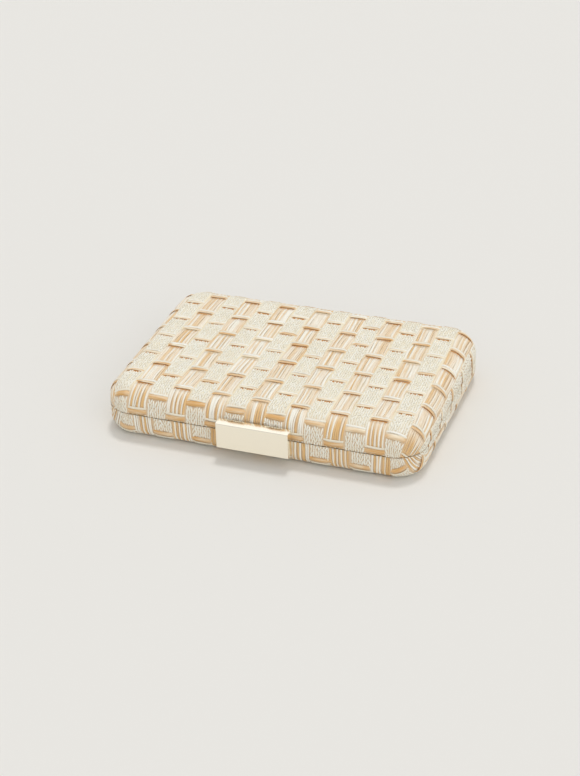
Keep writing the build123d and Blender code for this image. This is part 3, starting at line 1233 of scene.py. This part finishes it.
@dataclass
class Studio:
    """Pale floor, soft light and the photograph's camera, in millimetres, floor and lights in metres."""

    middle_y: float = field(default_factory=shell_middle)
    azimuth: float = 20.95
    elevation: float = 31.0
    roll: float = -2.11
    distance: float = 1172.17
    shift_x: float = 3.1898
    shift_y: float = -5.7043
    target_z: float = 15.0
    focal_pixels: float = 2000.0
    frame_height: float = 776.0
    floor_size: float = 40.0
    floor_finish: PlainFinish = PlainFinish("floor_paper", srgb(231, 229, 224), roughness=0.9)
    sky_colour: Colour = (1.0, 1.0, 1.0, 1.0)
    sky_strength: float = 0.65
    key_place: Place = (0.0, 0.27, 0.95)
    key_angle: float = 11.0
    key_power: float = 0.83
    fill_place: Place = (0.65, -0.65, 0.6)
    fill_angle: float = 60.0
    fill_power: float = 0.6
    box_place: Place = (-0.7, 1.75, 1.25)
    box_size: Pair = (1.6, 0.8)
    box_power: float = 1.7

    def build(self) -> None:
        """Set up floor, light and camera."""
        self.lay_floor()
        self.light()
        self.place_camera()

    def lay_floor(self) -> None:
        """Lay the floor."""
        bpy.ops.object.select_all(action="DESELECT")
        bpy.ops.mesh.primitive_plane_add(size=self.floor_size)
        floor = bpy.context.object
        floor.name = "floor"
        floor.data.materials.append(self.floor_finish.material())

    def light(self) -> None:
        """Hang a soft sun above, a weaker one in front, a softbox behind and an even sky."""
        scene = bpy.context.scene
        world = scene.world or bpy.data.worlds.new("sky")
        scene.world = world
        world.use_nodes = True
        back = world.node_tree.nodes["Background"]
        back.inputs["Color"].default_value = self.sky_colour
        back.inputs["Strength"].default_value = self.sky_strength
        key = ("SUN", self.key_place, self.key_power, {"angle": math.radians(self.key_angle)})
        fill = ("SUN", self.fill_place, self.fill_power, {"angle": math.radians(self.fill_angle)})
        width, height = self.box_size
        flat = {"shape": "RECTANGLE", "size": width, "size_y": height}
        box = ("AREA", self.box_place, self.box_power, flat)
        for kind, place, power, settings in (key, fill, box):
            bpy.ops.object.light_add(type=kind, location=place)
            light = bpy.context.object
            light.data.energy = power
            light.rotation_euler = (-light.location).to_track_quat("-Z", "Y").to_euler()
            for name, value in settings.items():
                setattr(light.data, name, value)
            if kind == "AREA":
                light.visible_camera = False
                light.visible_diffuse = False
        scene.view_settings.view_transform = "Standard"

    def place_camera(self) -> None:
        """Place the camera as it was fitted to the photograph's outline."""
        az, el, roll = (math.radians(angle) for angle in (self.azimuth, self.elevation, self.roll))
        back = Vector((math.sin(az) * math.cos(el), -math.cos(az) * math.cos(el), math.sin(el)))
        right = Vector((math.cos(az), math.sin(az), 0.0))
        up = back.cross(right)
        axis_x = right * math.cos(roll) + up * math.sin(roll)
        axis_y = up * math.cos(roll) - right * math.sin(roll)
        target = Vector((0.0, self.middle_y, self.target_z))
        place = target - axis_x * self.shift_x + axis_y * self.shift_y + back * self.distance
        data = bpy.data.cameras.new("camera")
        data.lens = data.sensor_width * self.focal_pixels / self.frame_height
        camera = bpy.data.objects.new("camera", data)
        bpy.context.scene.collection.objects.link(camera)
        turn = Matrix((axis_x, axis_y, back)).transposed().to_4x4()
        camera.matrix_world = Matrix.Translation(place * MM) @ turn
        bpy.context.scene.camera = camera


def lid_rows() -> Rows:
    """Weft rows of the lid, which grow a little towards the front and lie closer past the flat.

    Returns:
        Each row's number and its place along the cloth.
    """
    numbers = range(-6, 9)
    shift = -3.1
    pitch = 10.7
    growth_share = 0.0047
    flat_half = 54.5
    wall_share = 0.87
    rows = []
    for row in numbers:
        count = 0.5 - row
        place = shift - count * pitch * (1 + growth_share * count)
        past = max(abs(place) - flat_half, 0.0)
        rows.append((row, place - math.copysign(past * (1 - wall_share), place)))
    return tuple(rows)


def base_rows() -> Rows:
    """Weft rows of the base.

    Returns:
        Each row's number and its place along the cloth.
    """
    numbers = range(1, 14)
    first = -67.5
    pitch = 11.25
    return tuple((row, first + pitch * (row - numbers[0])) for row in numbers)


def main() -> None:
    """Build the covers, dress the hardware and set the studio."""
    logging.basicConfig(level=logging.INFO, format="%(name)s %(message)s")
    materials = {dress: dress.value.material() for dress in Dress}
    bar = Zone.behind("clasp_bar", room=0.5)
    bracket = Zone.behind("clasp_bracket", room=-0.02)
    lid_cloth = Cloth(edge=11.0, flat_z=30.0, mouth_z=15.75, up=1, zones=(bar, bracket))
    base_cloth = Cloth(edge=7.0, flat_z=0.5, mouth_z=15.25, up=-1, zones=(bar,))
    lid_weave = Weave(column_shift=-1.3, rows=lid_rows())
    base_weave = Weave(column_shift=2.2, rows=base_rows())
    lid_slit, base_slit = SlitShape(width=0.5), SlitShape(width=0.2)
    WovenCover(Half.LID, lid_cloth, lid_weave, seed=11, slit=lid_slit, materials=materials).build()
    WovenCover(Half.BASE, base_cloth, base_weave, seed=23, slit=base_slit, materials=materials).build()
    Hardware().dress(frame["nodes"])
    Studio().build()


if __name__ == "__main__":
    main()
